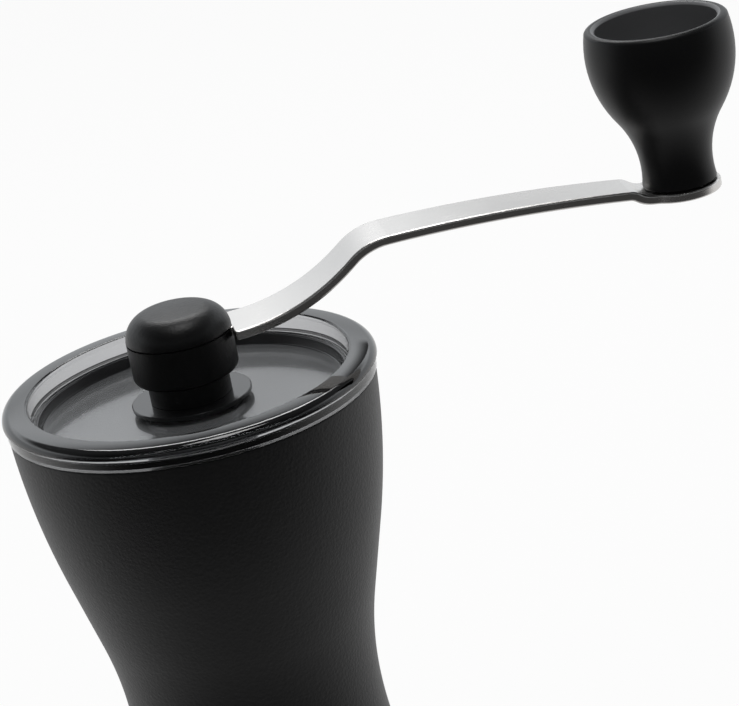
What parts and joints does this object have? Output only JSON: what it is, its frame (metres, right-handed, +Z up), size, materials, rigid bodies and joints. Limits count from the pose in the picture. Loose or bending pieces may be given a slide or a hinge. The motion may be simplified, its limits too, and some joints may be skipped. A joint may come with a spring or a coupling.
{
  "type": "hand crank coffee grinder",
  "caption": "Slim hourglass hand mill with a smoky lid, a bent steel crank with a hollow knob, ceramic burrs inside and a container for the grounds below.",
  "frame": {"origin": "middle of the base on the surface that the mill stands on", "axes": "+Z up along the drive shaft, crank arm along +X at rest"},
  "size_m": [0.1499, 0.072, 0.2177],
  "materials": {
    "body_black": "fine matt grain",
    "smoky_plastic": "clear smoky grey, polished",
    "hub_black": "fine matt",
    "bush_black": "polished",
    "knob_black": "satin",
    "arm_steel": "satin faces, polished edges",
    "shaft_steel": "ground",
    "fastener_steel": "plain",
    "spring_steel": "drawn wire",
    "housing_black": "moulded",
    "carrier_grey": "moulded",
    "bearing_nylon": "moulded",
    "ceramic": "fired ceramic, unglazed",
    "nut_brass": "turned",
    "pad_rubber": "soft silicone",
    "seal_rubber": "soft silicone"
  },
  "bodies": {
    "container": {"grounds_container": "smoky_plastic", "base_pad": "pad_rubber"},
    "grinder_body": {"upper_body": "body_black", "container_seal": "seal_rubber", "burr_housing": "housing_black", "shaft_bush": "bearing_nylon", "outer_burr": "ceramic", "burr_retainer": "housing_black", "housing_screws": "fastener_steel"},
    "lid": {"lid": "smoky_plastic"},
    "crank_bush": {"lid_bush": "bush_black", "bush_clip": "fastener_steel"},
    "crank": {"hub_socket": "hub_black", "hub_cap": "hub_black", "hub_screws": "fastener_steel", "crank_arm": "arm_steel", "knob_pin": "fastener_steel", "eye_washer": "fastener_steel", "pin_washer": "fastener_steel"},
    "knob": {"crank_knob": "knob_black"},
    "drive": {"drive_shaft": "shaft_steel", "thrust_washer": "bearing_nylon", "shaft_clip": "fastener_steel", "spring_top_washer": "fastener_steel", "burr_spring": "spring_steel"},
    "burr": {"inner_burr": "ceramic", "burr_carrier": "carrier_grey", "spring_seat_washer": "fastener_steel"},
    "adjuster": {"adjust_wheel": "carrier_grey", "adjust_nut": "nut_brass"}
  },
  "joints": [
    {"name": "body_lift", "type": "slide", "parent": "container", "child": "grinder_body", "axis": [0, 0, 1], "range_m": [0, 0.06]},
    {"name": "lid_lift", "type": "slide", "parent": "grinder_body", "child": "lid", "axis": [0, 0, 1], "range_m": [0, 0.03]},
    {"name": "crank_turn", "type": "hinge", "parent": "lid", "child": "crank_bush", "pos_m": [0, 0, 0.1665], "axis": [0, 0, 1], "continuous": true},
    {"name": "crank_lift", "type": "slide", "parent": "crank_bush", "child": "crank", "axis": [0, 0, 1], "range_m": [0, 0.02]},
    {"name": "knob_spin", "type": "hinge", "parent": "crank", "child": "knob", "pos_m": [0.0997, 0, 0.2], "axis": [0, 0, 1], "continuous": true},
    {"name": "drive_turn", "type": "hinge", "parent": "grinder_body", "child": "drive", "pos_m": [0, 0, 0.11], "axis": [0, 0, 1], "continuous": true},
    {"name": "burr_shift", "type": "slide", "parent": "drive", "child": "burr", "axis": [0, 0, -1], "range_m": [-0.00038, 0.0015], "deforming": ["burr_spring"]},
    {"name": "adjust_turn", "type": "hinge", "parent": "burr", "child": "adjuster", "pos_m": [0, 0, 0.0735], "axis": [0, 0, -1], "range_deg": [-181, 721]}
  ],
  "couplings": [
    {"joint": "drive_turn", "follows": "crank_turn", "ratio": 1},
    {"joint": "adjust_turn", "follows": "burr_shift", "rad_per_m": 8377.6}
  ]
}
